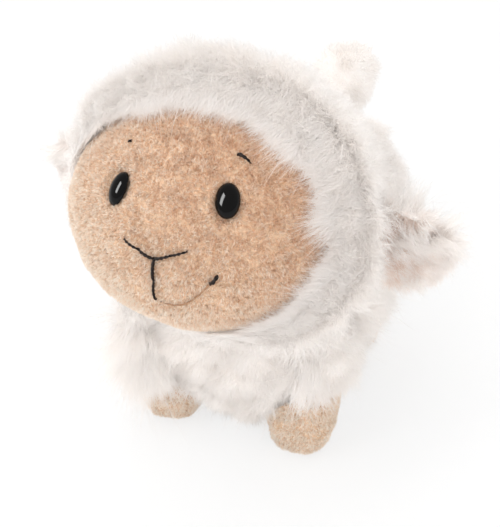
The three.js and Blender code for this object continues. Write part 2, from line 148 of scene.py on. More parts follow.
class SheepFace(bpy.types.PropertyGroup):
    head_width: length_of("Head width", 104, "Width of the short-pile head")
    head_depth: length_of("Head depth", 95, "Depth of the short-pile head")
    head_height: length_of("Head height", 85, "Height of the short-pile head")
    head_rise: length_of("Head rise", 124, "Height of the head's centre over the ground")
    seam_forward: length_of("Seam forward", 9, "How far the face's seam lies in front of the head's centre")
    seam_tilt: number_of("Seam tilt", 19.5, "How far the face's seam leans back, in degrees")
    eye_width: length_of("Eye width", 8.6, "Width of an eye")
    eye_height: length_of("Eye height", 12.4, "Height of an eye")
    eye_dome: length_of("Eye dome", 3.4, "How far an eye stands out of its seat")
    eye_sink: length_of("Eye sink", 1.3, "How far an eye's rim sinks into the pile")
    eye_across: share_of("Eye across", 0.389, "Place of an eye across the head's half width")
    eye_rise: share_of("Eye rise", 0.612, "Place of an eye up the head's half height")
    eye_slant: share_of("Eye slant", 0.03, "How much higher the left eye is set and lower the right one")
    eye_shift: share_of("Eye shift", 0.011, "How far both eyes are set to the left")
    eye_turn: number_of("Eye turn", 25, "How far the right eye is turned outwards, in degrees")
    nose_rise: share_of("Nose rise", 0.188, "Height of the nose's junction")
    nose_half_width: share_of("Nose half width", 0.221, "Reach of a nose arm")
    nose_arm_lift: share_of("Nose arm lift", 0.106, "Rise of a nose arm")
    nose_drop: share_of("Nose drop", 0.412, "Length of the stitch down from the nose")
    smile_half_width: share_of("Smile half width", 0.414, "Reach of a smile corner")
    smile_corner: share_of("Smile corner", 0.094, "Height of a smile corner")
    smile_dip: share_of("Smile dip", 0.038, "Fullness of the smile")
    brow_inset: share_of("Brow inset", 0.337, "Place of a brow across")
    brow_shift: share_of("Brow shift", 0.02, "How far both brows are sewn to the left")
    brow_rise: share_of("Brow rise", 0.866, "Place of a brow up")
    brow_length: share_of("Brow length", 0.096, "Length of a brow")
    brow_fall: share_of("Brow fall", 0.052, "Fall of a brow towards its outer end")
    thread_width: length_of("Thread", 1.2, "Thickness of the nose's thread")
    fine_width: length_of("Fine thread", 0.9, "Thickness of the smile's thread")


# ---- meshes ----


def collection_link(obj):
    """Puts an object in the scene."""
    bpy.context.scene.collection.objects.link(obj)
    return obj


def mesh_object(name, mesh, material, body, parent=None):
    """A piece of one material, on its CAD body or on another piece."""
    obj = collection_link(bpy.data.objects.new(name, mesh))
    obj.data.materials.append(material)
    if parent is None:
        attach(obj, body)
    else:
        bpy.context.view_layer.update()
        obj.parent = parent
        obj.matrix_parent_inverse = parent.matrix_world.inverted()
    return obj


def smooth_mesh(name, points, faces):
    mesh = bpy.data.meshes.new(name)
    mesh.from_pydata(points, [], faces)
    mesh.polygons.foreach_set("use_smooth", np.ones(len(faces), bool))
    return mesh


def triples(rows, key, kind=np.float32):
    """Three numbers about each vertex or triangle of a mesh."""
    out = np.empty(len(rows) * 3, kind)
    rows.foreach_get(key, out)
    return out.reshape(-1, 3)


def vertices_of(mesh):
    return triples(mesh.vertices, "co").astype(float)


def normals_of(mesh):
    return triples(mesh.vertices, "normal").astype(float)


def triangles_of(mesh):
    mesh.calc_loop_triangles()
    return triples(mesh.loop_triangles, "vertices", np.int32)


def cad_arrays(nodes):
    """Vertices and triangles of several CAD nodes together."""
    points, faces, start = [], [], 0
    for name in nodes:
        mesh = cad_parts[name].data
        points.append(vertices_of(mesh))
        faces.append(triangles_of(mesh) + start)
        start += len(points[-1])
    return np.concatenate(points), np.concatenate(faces)


def cad_tree(nodes):
    """The surface of several CAD nodes, to measure distances to."""
    points, faces = cad_arrays(nodes)
    return BVHTree.FromPolygons(points.tolist(), faces.tolist())


def lumps(points, size, seed, waves=9):
    """A smooth random number from about -1 to 1 at each point, from waves about size long."""
    rng = np.random.default_rng(seed)
    out = np.zeros(len(points))
    for _ in range(waves):
        way = rng.normal(size=3)
        way *= 2 * math.pi / (size * rng.uniform(0.8, 1.6) * np.linalg.norm(way))
        out += np.sin(points @ way + rng.uniform(0, 2 * math.pi))
    return out / math.sqrt(waves / 2)


def thickness(mesh, points, out, most):
    """How thick the form is under each vertex, up to most."""
    tree = BVHTree.FromPolygons(points.tolist(), triangles_of(mesh).tolist())
    just_inside = 0.05 * MM
    return room(points - out * just_inside, -out, tree, most)


def sewn_form(name, nodes, voxel, rounds, depth, lump, lump_size, seed, draw=None, thin=False):
    """The backing's smooth mesh: the nodes' outer form, drawn in by depth, with soft lumps of filling.

    A form with thin edges is drawn in there by less than half its thickness.
    """
    points, faces = cad_arrays(nodes)
    rough = bpy.data.meshes.new(name + "_rough")
    rough.from_pydata(points.tolist(), [], faces.tolist())
    obj = collection_link(bpy.data.objects.new(name + "_rough", rough))
    remesh = obj.modifiers.new("remesh", "REMESH")
    remesh.mode = "VOXEL"
    remesh.voxel_size = voxel
    smooth = obj.modifiers.new("smooth", "SMOOTH")
    smooth.factor = 0.5
    smooth.iterations = rounds
    bpy.context.view_layer.update()
    done = obj.evaluated_get(bpy.context.evaluated_depsgraph_get())
    mesh = bpy.data.meshes.new_from_object(done)
    bpy.data.objects.remove(obj)
    bpy.data.meshes.remove(rough)
    mesh.name = name
    co, out = vertices_of(mesh), normals_of(mesh)
    inset = np.minimum(depth, 0.42 * thickness(mesh, co, out, 4 * depth)) if thin else depth
    co += out * (lump * lumps(co, lump_size, seed) - inset)[:, None]
    if draw:
        co = draw(co)
    mesh.vertices.foreach_set("co", co.astype(np.float32).ravel())
    mesh.polygons.foreach_set("use_smooth", np.ones(len(mesh.polygons), bool))
    mesh.update()
    return mesh


def backing_piece(name, mesh, look, body, nodes):
    """A stuffed backing that takes the place of CAD nodes."""
    backing = mesh_object(name, mesh, sheep_materials()[look], body)
    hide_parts(*nodes)
    return backing


def spots_on(mesh, area, rng):
    """Random places on a mesh, one for each area in m2: points and smooth outward directions."""
    co, out, tris = vertices_of(mesh), normals_of(mesh), triangles_of(mesh)
    a, b, c = co[tris[:, 0]], co[tris[:, 1]], co[tris[:, 2]]
    sizes = np.linalg.norm(np.cross(b - a, c - a), axis=1) / 2
    count = int(sizes.sum() / area)
    pick = rng.choice(len(tris), count, p=sizes / sizes.sum())
    u, v = rng.random(count), rng.random(count)
    flip = u + v > 1
    u[flip], v[flip] = 1 - u[flip], 1 - v[flip]
    w = np.stack([1 - u - v, u, v], 1)[:, :, None]
    corners = tris[pick]
    return (co[corners] * w).sum(1), unit((out[corners] * w).sum(1))


def unit(v):
    """Each row's direction, at length one."""
    return v / np.maximum(np.linalg.norm(v, axis=-1, keepdims=True), 1e-12)


def near(points, tree, reach):
    """Whether each point is within reach of a tree's surface."""
    return np.array([tree.find_nearest(p, reach)[0] is not None for p in points.tolist()], bool)


def room(points, ways, tree, reach):
    """How far each point can go along its way before it meets the tree, up to reach."""
    out = np.full(len(points), reach)
    for i, (p, d) in enumerate(zip(points.tolist(), ways.tolist())):
        hit = tree.ray_cast(p, d, reach)
        if hit[0] is not None:
            out[i] = hit[3]
    return out


def strand_mesh(name, root, middle, tip, side, width, tone, rings):
    """Tapered ribbons from root to tip, one for each row, with rings places along each before its tip."""
    count, each = len(root), rings * 2 + 1
    along = np.linspace(0, 1, rings + 1)[:-1]
    t = along[None, :, None]
    line = root[:, None] * (1 - t) ** 2 + 2 * middle[:, None] * t * (1 - t) + tip[:, None] * t**2
    # A strand narrows a little along its length and ends in a point.
    half = (width[:, None] / 2 * (1 - 0.55 * along[None] ** 1.5))[:, :, None] * side[:, None]
    pairs = np.stack([line - half, line + half], 2).reshape(count, rings * 2, 3)
    points = np.concatenate([pairs, tip[:, None]], 1)
    # Quads join the pairs, and a triangle ends in the tip.
    loops = [2 * i + k for i in range(rings - 1) for k in (0, 1, 3, 2)]
    loops += [2 * rings - 2, 2 * rings - 1, 2 * rings]
    offsets = np.arange(count)[:, None]
    corner = (np.array(loops)[None] + offsets * each).ravel()
    start = (4 * np.arange(rings)[None] + offsets * len(loops)).ravel()
    mesh = bpy.data.meshes.new(name)
    mesh.vertices.add(count * each)
    mesh.loops.add(len(corner))
    mesh.polygons.add(len(start))
    mesh.vertices.foreach_set("co", points.astype(np.float32).ravel())
    mesh.loops.foreach_set("vertex_index", corner.astype(np.int32))
    mesh.polygons.foreach_set("loop_start", start.astype(np.int32))
    mesh.polygons.foreach_set("use_smooth", np.ones(len(start), bool))
    levels = np.tile(np.append(np.repeat(along, 2), 1), count)
    tones = np.repeat(tone, each)
    for key, values in (("along", levels), ("tone", tones)):
        mesh.attributes.new(key, "FLOAT", "POINT").data.foreach_set("value", values.astype(np.float32))
    # The bake's chart: a strand's tone across, the place along it up, and a little width for each strand.
    shift = np.append(np.tile([-0.004, 0.004], rings), 0)
    across = np.clip(tones, 0.01, 0.99) + np.tile(shift, count)
    chart = np.stack([across, 0.01 + 0.98 * levels], 1)[corner]
    mesh.uv_layers.new(name="OFBake", do_init=False).uv.foreach_set("vector", chart.astype(np.float32).ravel())
    mesh.update(calc_edges=True)
    mesh.validate()
    return mesh


def grow(name, points, ways, lean, reach, spec, look, backing, body, rng, shade=0.5, lay=None):
    """Tufts of strands on a backing. lean is each tuft's tangent way, reach its length, shade its middle tone.

    lay moves the middles and tips of the strands to where they come to lie. In spec, up is how far the strands
    stand, ruffle and fray how far tufts and strands turn from their way, gather how wide a tuft's tips are of its
    roots, stray the share of loose longer strands, and mottle and grain how tufts and strands differ in tone.
    """
    tufts, each = len(points), spec["strands"]
    side = unit(np.cross(ways, rng.normal(size=ways.shape)))
    other = np.cross(ways, side)
    angle = rng.uniform(0, 2 * math.pi, (tufts, each))
    spread = spec["spread"] * np.sqrt(rng.random((tufts, each)))
    offset = (np.cos(angle) * spread)[..., None] * side[:, None]
    offset = offset + (np.sin(angle) * spread)[..., None] * other[:, None]
    long = reach[:, None] * rng.uniform(0.72, 1.08, (tufts, each))
    stray = rng.random((tufts, each)) < spec["stray"]
    long = np.where(stray, long * 1.15, long)
    up = np.reshape(spec["up"], (-1, 1)) * rng.uniform(0.85, 1.15, (tufts, 1)) * np.ones((1, each))
    out = ways[:, None]
    lie = lean[:, None] + spec["ruffle"] * rng.normal(size=(tufts, 1, 3))
    lie = lie + np.where(stray[..., None], 0.5, spec["fray"]) * rng.normal(size=(tufts, each, 3))
    lie = lie - (lie * out).sum(-1, keepdims=True) * out
    root = points[:, None] + offset - out * spec["bury"]
    gather = np.where(stray, 1.1, spec["gather"])[..., None]
    tip = points[:, None] + offset * gather + out * (long * up)[..., None] + lie * long[..., None]
    middle = root + out * (long * up * 0.62)[..., None] + lie * (long * 0.18)[..., None] + (tip - root) * 0.1
    root, middle, tip = (x.reshape(-1, 3) for x in (root, middle, tip))
    if lay:
        middle, tip = lay(middle, rng), lay(tip, rng)
    outs = np.repeat(ways, each, 0)
    # Each ribbon lies nearly flat on its surface, turned up to 35 degrees.
    flat = unit(np.cross(unit(tip - root), outs + 0.2 * rng.normal(size=outs.shape)))
    third = unit(np.cross(flat, tip - root))
    turn = rng.uniform(-0.6, 0.6, len(flat))[:, None]
    flat = np.cos(turn) * flat + np.sin(turn) * third
    width = spec["width"] * rng.uniform(0.7, 1.2, len(flat))
    tone = np.repeat(shade + spec["mottle"] * rng.uniform(-1, 1, tufts), each)
    tone = tone + spec["grain"] * rng.uniform(-1, 1, len(flat))
    # Strands stay over the ground, and near the CAD box.
    for line in (middle, tip):
        line[:, 2] = np.maximum(line[:, 2], 0.2 * MM + 0.8 * MM * rng.random(len(line)))
        inner = np.clip(line, np.array(cad_box[0]) - PAST_BOX, np.array(cad_box[1]) + PAST_BOX)
        line[:] = inner + (line - inner) * 0.2
    rings = spec["rings"]
    parts = math.ceil(len(root) / int(MOST_FACES / (2 * rings - 1)))
    for i, rows in enumerate(np.array_split(np.arange(len(root)), parts)):
        label = f"{name}_{i + 1}" if parts > 1 else name
        mesh = strand_mesh(label, *(x[rows] for x in (root, middle, tip, flat, width, tone)), rings)
        mesh_object(label, mesh, sheep_materials()[look], body, backing)


# ---- materials ----


def add(tree, kind, settings=None, links=None):
    """Adds a node with its settings and input values, and its links from sockets or from nodes' first outputs."""
    node = tree.nodes.new(kind)
    for key, value in (settings or {}).items():
        if key == "stops":
            for element, (place, colour) in zip(node.color_ramp.elements, value):
                element.position, element.color = place, (*colour, 1)
        elif isinstance(key, str) and hasattr(node, key):
            setattr(node, key, value)
        else:
            node.inputs[key].default_value = value
    for key, source in (links or {}).items():
        tree.links.new(getattr(source, "outputs", [source])[0], node.inputs[key])
    return node


def new_material(name):
    material = bpy.data.materials.new(name)
    material.use_nodes = True
    material.node_tree.nodes.clear()
    return material, material.node_tree


def shaded(colour, share):
    return tuple(c * share for c in colour)


def pile_material(name, dark, light, root_shade, roughness, sheen, through):
    """Strands coloured by each one's own tone, and painted darker at the root as the shade deep in the pile.
    through is the share of light they let pass.
    """
    tree = new_material(name)[1]
    tone = add(tree, "ShaderNodeAttribute", {"attribute_name": "tone"}).outputs["Fac"]
    along = add(tree, "ShaderNodeAttribute", {"attribute_name": "along"}).outputs["Fac"]
    strand = add(tree, "ShaderNodeValToRGB", {"stops": [(0.1, dark), (0.9, light)]}, {"Fac": tone})
    rooted = [(0.0, (root_shade,) * 3), (0.75, (1, 1, 1))]
    root_shade_ramp = add(tree, "ShaderNodeValToRGB", {"stops": rooted}, {"Fac": along})
    multiply = {"data_type": "RGBA", "blend_type": "MULTIPLY", 0: 1}
    colour = add(tree, "ShaderNodeMix", multiply, {6: strand, 7: root_shade_ramp}).outputs[2]
    surface = {"Roughness": roughness, "Specular IOR Level": 0.1, "Sheen Weight": sheen, "Sheen Roughness": 0.4}
    shader = add(tree, "ShaderNodeBsdfPrincipled", surface, {"Base Color": colour})
    glow = add(tree, "ShaderNodeBsdfTranslucent", links={"Color": colour})
    blend = add(tree, "ShaderNodeMixShader", {0: through}, {1: shader, 2: glow})
    add(tree, "ShaderNodeOutputMaterial", links={"Surface": blend})


def grained_material(name, grain, detail, surface, stops=None, relief=None, gloss=None):
    """A surface with a grain of its own size, which shows in its colour, its relief or its gloss."""
    tree = new_material(name)[1]
    place = add(tree, "ShaderNodeTexCoord").outputs["Object"]
    patches = add(tree, "ShaderNodeTexNoise", {"Scale": 1 / grain, **detail}, {"Vector": place})
    links = {}
    if stops:
        links["Base Color"] = add(tree, "ShaderNodeValToRGB", {"stops": stops}, {"Fac": patches})
    if relief:
        links["Normal"] = add(tree, "ShaderNodeBump", relief, {"Height": patches})
    if gloss:
        links["Roughness"] = add(tree, "ShaderNodeMapRange", gloss, {"Value": patches})
    shader = add(tree, "ShaderNodeBsdfPrincipled", surface, links)
    add(tree, "ShaderNodeOutputMaterial", links={"Surface": shader})


def sheep_materials():
    """Every material by its name, made the first time it is asked for."""
    if WOOL not in bpy.data.materials:
        make_materials(bpy.context.scene.sheep_colours)
    return {m.name: m for m in bpy.data.materials}


def make_materials(colours):
    wool, dark = tuple(colours.wool_root), tuple(colours.face_dark)
    # Long acrylic pile, brushed up: soft warm white, with light that passes from strand to strand.
    pile_material(WOOL, wool, tuple(colours.wool_tip), 1.0, 0.8, 0.0, 0.6)
    # Short sheared polyester pile: light and dark grains of about a millimetre from tufts that lean apart, with a
    # little painted shade at the roots.
    pile_material(SHORT, dark, tuple(colours.face_light), 0.94, 0.8, 0.0, 0.4)
    # Brushed tricot in the ear: paler and pinker, short and soft. Its darker colour is painted shade for the ear's
    # hollow.
    lining = tuple(colours.lining_hollow_shade), tuple(colours.lining_light)
    pile_material("Brushed tricot pile", *lining, 1.0, 0.8, 0.1, 0.6)
    # The knitted backings, only glimpsed between the strands, mottled at the tufts' size: painted darker than
    # their pile as the shade under it, the wool's a little and the face's far more.
    knit = {"Roughness": 0.95, "Specular IOR Level": 0.2, "Sheen Weight": 0.2, "Sheen Roughness": 0.5}
    for name, stops, grain, depth in (
        ("Knitted wool backing", [(0.35, shaded(wool, 0.93)), (0.65, shaded(wool, 0.99))], 4 * MM, 1.5 * MM),
        ("Knitted polyester backing", [(0.35, shaded(dark, 0.7)), (0.65, shaded(dark, 0.9))], 1.2 * MM, 0.5 * MM),
    ):
        relief = {"Strength": 0.6, "Distance": depth}
        grained_material(name, grain, {"Detail": 3.0, "Roughness": 0.6}, knit, stops, relief)
    # Injection-moulded acrylic, polished: a deep black with one sharp highlight under a clear skin.
    acrylic = {"Base Color": (*colours.eye, 1), "IOR": 1.49, "Specular IOR Level": 0.16}
    polish = {"To Min": 0.05, "To Max": 0.09}
    grained_material("Moulded black acrylic", 2.5 * MM, {"Detail": 2.0}, acrylic, gloss=polish)
    # Twisted rayon thread: a dull colour with a satin glint along each ply. The features' thread is nearly black,
    # and the crease of the smile is a finer thread a little darker than the face, partly its dye and partly
    # painted shade in the crease.
    satin = {"Roughness": 0.6, "Specular IOR Level": 0.2}
    twist = {"Strength": 0.5, "Distance": 0.08 * MM}
    for name, thread_colour in ((THREAD, tuple(colours.thread)), ("Tonal sewing thread", tuple(colours.crease_thread_and_shade))):
        stops = [(0.35, shaded(thread_colour, 0.45)), (0.7, thread_colour)]
        grained_material(name, 0.35 * MM, {"Detail": 3.0}, satin, stops, twist)
    # Moulded polypropylene washer, matt from a textured tool.
    tint = tuple(colours.washer)
    stops = [(0.3, shaded(tint, 0.9)), (0.7, tint)]
    grained_material("Moulded polypropylene", 0.8 * MM, {"Detail": 2.0}, {"Roughness": 0.5}, stops)


# ---- the wool coat ----


def wool_spec(pile, **changes):
    """How a tuft of long wool is made. changes are what differs here."""
    usual = dict(strands=pile.tuft_strands, spread=pile.tuft_spread, width=pile.wool_width, stray=0.08, up=0.62,
                 ruffle=0.22, fray=0.12, gather=0.55, bury=1.2 * MM, mottle=0.2, grain=0.16, rings=3)
    return {**usual, **changes}


def short_spec(pile, **changes):
    """How a tuft of short pile is made. changes are what differs here."""
    usual = dict(strands=pile.short_strands, spread=0.5 * MM, width=pile.short_width, stray=0.03, up=0.85,
                 ruffle=0.26, fray=0.3, gather=0.45, bury=0.3 * MM, mottle=0.3, grain=0.22, rings=2)
    return {**usual, **changes}


def tangent(ways, direction):
    """Each direction laid flat on its surface."""
    direction = np.broadcast_to(np.asarray(direction, float), ways.shape)
    return direction - (direction * ways).sum(1, keepdims=True) * ways


def swirl(points, size, seed):
    """A smooth random direction field."""
    return np.stack([lumps(points, size, seed + k) for k in range(3)], 1) * 0.5


def wool_piece(name, nodes, own, others, body, fill, seed, lean, fuller=None, depth=None, length=None,
               voxel=2 * MM, rounds=10, lump=1.3 * MM, slack=5 * MM, draw=None, thin=False, rise=None,
               lay=None, keep_if=None, **changes):
    """One wool-covered piece: its backing form and the tufts on the part of it that belongs to the own nodes.

    Wool stops short of the others. lean gives each tuft's way, fuller its share of the length, rise how far it
    stands up, and keep_if whether it is kept. draw moves the backing's vertices, and lay the strands.
    """
    pile = bpy.context.scene.sheep_pile
    rng = np.random.default_rng(pile.seed + seed)
    depth = pile.wool_depth if depth is None else depth
    length = pile.wool_length if length is None else length
    mesh = sewn_form(name, nodes, voxel, rounds, depth, lump, FILLING_LUMP, seed, draw, thin)
    backing = backing_piece(name, mesh, "Knitted wool backing", body, nodes)
    points, ways = spots_on(mesh, pile.tuft_area * MM * MM, rng)
    keep = near(points, cad_tree(own), depth + slack)
    points, ways = points[keep], ways[keep]
    free = np.full(len(points), 1.0)
    if others:
        free = room(points + ways * 0.5 * MM, ways, cad_tree(others), depth + 8 * MM)
    # A tuft fills at most nine tenths of the room that it has to grow in.
    least_room = 2.5 * MM
    keep = free > least_room
    if keep_if:
        keep &= keep_if(points)
    points, ways, free = points[keep], ways[keep], free[keep]
    if rise:
        changes["up"] = rise(points)
    long = length * (1 + 0.14 * lumps(points, WOOL_CLUMP, seed + 5))
    if fuller:
        long = long * fuller(points)
    way = lean(points, ways) + 0.32 * swirl(points, WOOL_SWIRL, seed + 9)
    grow(name + "_pile", points, ways, tangent(ways, way), np.minimum(long, free * 0.9),
         wool_spec(pile, **changes), WOOL, backing, body, rng, lay=lay)
    return backing


def fuller_near(nodes, reach, gain):
    """Makes wool longer close to its neighbours, so that the crease between them closes."""
    tree = cad_tree(nodes)
    return lambda points: 1 + gain * np.exp(-((nearest(points, tree) / reach) ** 2))


def coat_lean(points, ways):
    """The coat lies down and back, and stands up to the chin."""
    rise = under_chin(points)[:, None]
    return np.array([0, 0.12, -0.34]) * (1 - rise) + np.array([0, -0.2, 0.4]) * rise


def under_chin(points):
    """1 at the front of the neck, falling to 0 about 20 mm from it."""
    spot = head_centre() + np.array([6, -22, -46]) * MM
    return np.exp(-(((points - spot) / (np.array([34, 18, 14]) * MM)) ** 2).sum(1))


class SHEEP_OT_body(bpy.types.Operator):
    """Body: a stuffed backing with its long wool coat"""

    bl_idname = "sheep.body"
    bl_label = "Body wool"

    def execute(self, context):
        others = FACE_PANELS + [f"{limb}_foot" for limb in LIMBS if limb != "front_right"]
        creases = fuller_near(SLEEVES, 12 * MM, 0.8)
        wool_piece("body_wool", BODY_PANELS + ["body_stuffing"], BODY_PANELS, others, "sheep", 0.95, 1, coat_lean,
                   lambda points: creases(points) * (1 + 0.5 * under_chin(points)))
        return {"FINISHED"}


def hanging_lean(points, ways):
    """The legs' wool hangs over the feet."""
    low = np.clip((55 * MM - points[:, 2]) / (30 * MM), 0, 1)[:, None]
    return np.array([0, 0, -0.5]) + low * np.array([0, 0, -0.4]) + 0 * ways


class SHEEP_OT_sleeves(bpy.types.Operator):
    """Leg sleeves: wool round the top of each leg"""

    bl_idname = "sheep.sleeves"
    bl_label = "Leg wool"

    def execute(self, context):
        # How long the wool is and how far it stands up, how much shorter on the leg's outer side and low down, how
        # far the backing is drawn in at the outer side and at the front, its lumps, and how far over the sleeve's
        # edge the wool starts. Lengths are in mm.
        usual = dict(length=8, up=0.45, outer=0.4, low=0, inwards=1, back=0, lump=0.8, edge=-1)
        # The front left foot shows whole, and the front right leg's wool hangs half way down its foot.
        own = {"front_left": dict(length=10.5, up=0.6, low=0.6, back=3.5, edge=4),
               "front_right": dict(length=16, up=0.6, outer=0.8, inwards=4, lump=1.3)}
        crease = fuller_near(BODY_PANELS, 9 * MM, 0.55)
        for i, limb in enumerate(LIMBS):
            nodes = [f"{limb}_leg_sleeve", f"{limb}_leg_stuffing"]
            sleeve = vertices_of(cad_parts[nodes[0]].data)
            middle, bottom = sleeve.mean(0), sleeve[:, 2].min()
            side = 1 if "left" in limb else -1
            leg = {**usual, **own.get(limb, {})}

            def coat(points):
                """Short on the leg's outer side and over a foot that shows, full in the crease at the body."""
                outer = ease((points - middle)[:, 0] * side / (10 * MM) + 0.5)
                low = ease((bottom + 16 * MM - points[:, 2]) / (12 * MM))
                return crease(points) * (1 - leg["outer"] * outer) * (1 - leg["low"] * low)

            def tucked(points):
                """The leg's outer side is drawn in towards the body, and the front left leg's front."""
                outer = ease((points - middle)[:, 0] * side / (12 * MM))
                front = ease((middle - points)[:, 1] / (12 * MM))
                across, back = leg["inwards"] * MM * side, leg["back"] * MM
                return points + np.stack([-outer * across, front * back, 0 * front], 1)

            wool_piece(f"{limb}_sleeve_wool", nodes, nodes, [], "sheep", 0.85, 20 + i, hanging_lean, coat,
                       depth=5.2 * MM, length=leg["length"] * MM, voxel=1.4 * MM, lump=leg["lump"] * MM,
                       slack=10 * MM, up=leg["up"], draw=tucked, thin=limb != "front_right",
                       keep_if=lambda points: points[:, 2] > bottom + leg["edge"] * MM)
            if limb == "front_right":
                self.hem(sleeve, middle, bottom)
        return {"FINISHED"}

    def hem(self, sleeve, middle, bottom, locks=420):
        """Locks along the front of the sleeve's lower edge that fall over the top of the foot."""
        pile = bpy.context.scene.sheep_pile
        rng = np.random.default_rng(pile.seed + 95)
        # The lower 9 mm of the sleeve, on its front.
        edge = sleeve[(sleeve[:, 2] < bottom + 9 * MM) & (sleeve[:, 1] < middle[1] + 3 * MM)]
        points = edge[rng.integers(0, len(edge), locks)] + rng.normal(size=(locks, 3)) * 1.2 * MM
        ways = unit((points - middle) * np.array([0.6, 1, 0]) + np.array([0, -0.004, 0.001]))
        lean = np.array([0.15, -0.1, -0.8]) + 0.2 * swirl(points, 12 * MM, 96)
        reach = 13 * MM * (1 + 0.15 * lumps(points, 8 * MM, 97))
        grow("front_right_hem", points, ways, tangent(ways, lean), reach, wool_spec(pile, up=0.7, strands=34),
             WOOL, None, "sheep", rng)


def seam_frame():
    """The seam's plane between face and hood: its middle, the way it faces, and the way up in it."""
    face = bpy.context.scene.sheep_face
    tilt = math.radians(face.seam_tilt)
    forward = np.array([0, -math.cos(tilt), math.sin(tilt)])
    up = np.array([0, math.sin(tilt), math.cos(tilt)])
    return head_centre() + forward * face.seam_forward * math.cos(tilt), forward, up


def behind_seam(points):
    """How far each point lies behind the seam's plane."""
    middle, forward, _ = seam_frame()
    return -(points - middle) @ forward


def head_radii():
    """The short-pile head's half width, half depth and half height."""
    face = bpy.context.scene.sheep_face
    return np.array([face.head_width, face.head_depth, face.head_height]) / 2


def brushed(points):
    """How strongly the hood's wool is brushed forward over the face.

    Fully at the top and on the toy's left, and not at all where the face itself is the outline, on its right.
    """
    middle, _, up = seam_frame()
    across, high = (points - middle)[:, 0], (points - middle) @ up
    turn = np.degrees(np.arctan2(high, across))
    return np.interp(turn, (-88, -64, -48, 80, 120, 150, 172), (0, 0.35, 1, 1, 0.9, 0.65, 0), period=360)


def ease(value):
    """A smooth step from 0 to 1."""
    value = np.clip(value, 0, 1)
    return value * value * (3 - 2 * value)


def near_rim(points, reach=30 * MM):
    """1 at the seam, falling to 0 a reach behind it."""
    return 1 - ease(behind_seam(points) / reach)


def head_height(points):
    """Height of each point over the short-pile head."""
    return (np.linalg.norm((points - head_centre()) / head_radii(), axis=1) - 1) * head_radii().mean()


def at_height(points, height):
    """The points moved to a height over the short-pile head."""
    size, middle = head_radii().mean(), head_centre()
    return middle + (points - middle) * ((1 + height / size) / (1 + head_height(points) / size))[:, None]


def drawn_to_rim(points):
    """The hood's backing comes forward and down to the head where it is sewn to the face."""
    forward = seam_frame()[1]
    behind = behind_seam(points)
    # It comes forward by up to 6 mm, from 4 mm in front of the seam to 13 mm behind it.
    push = 6 * MM * ease((13 * MM - behind) / (8 * MM)) * ease((behind + 4 * MM) / (4 * MM))
    points = points + push[:, None] * forward
    # How high it may lie over the head in front of the seam, at it and behind it.
    most = np.interp(behind_seam(points), [-1 * MM, 0.5 * MM, 12 * MM], [-2.5 * MM, 0.6 * MM, 7 * MM])
    free = behind_seam(points) > 12 * MM
    height = head_height(points)
    return at_height(points, np.where(free, height, np.minimum(height, most)))


def hood_lean(points, ways):
    """The hood's wool runs back and down, and near its seam forward over the face or back from it."""
    forward = seam_frame()[1]
    front, brush = near_rim(points)[:, None], brushed(points)[:, None]
    over = forward * 0.95 * brush + np.array([0, 0.2, -0.3]) * (1 - brush)
    return np.array([0, 0.15, -0.2]) * (1 - front) + over * front


def hood_rise(points):
    """The hood's wool stands less near its seam."""
    return 0.62 - 0.14 * near_rim(points, 12 * MM) * (0.5 + 0.5 * brushed(points))


def over_face(points, rng):
    """Wool near the seam lies lower towards it, and past it on the short pile.

    It stays lower where it is brushed back, and goes over the pile in clumps.
    """
    height, beyond = head_height(points), -behind_seam(points)
    full = ease((brushed(points) - 0.3) / 0.4)
    clump = np.clip(1 + 0.45 * lumps(points, 9 * MM, 95), 0.4, 1.7)
    # In mm: the wool's height past the seam, in clumps, which falls to nothing 12 mm past it.
    edge = (0.8 + 5.7 * full) * (1 - ease(beyond / (12 * MM))) * clump * rng.uniform(0.35, 1, len(points))
    most = (1.0 + edge) * MM + (0.45 + 0.6 * full) * np.maximum(-beyond, 0)
    # It begins to lie down this far behind the seam.
    reach = (13 - 7 * full) * MM
    past = ease((beyond + reach) / reach)
    held = np.clip(height, 0.3 * MM, most)
    return at_height(points, height + (held - height) * past)


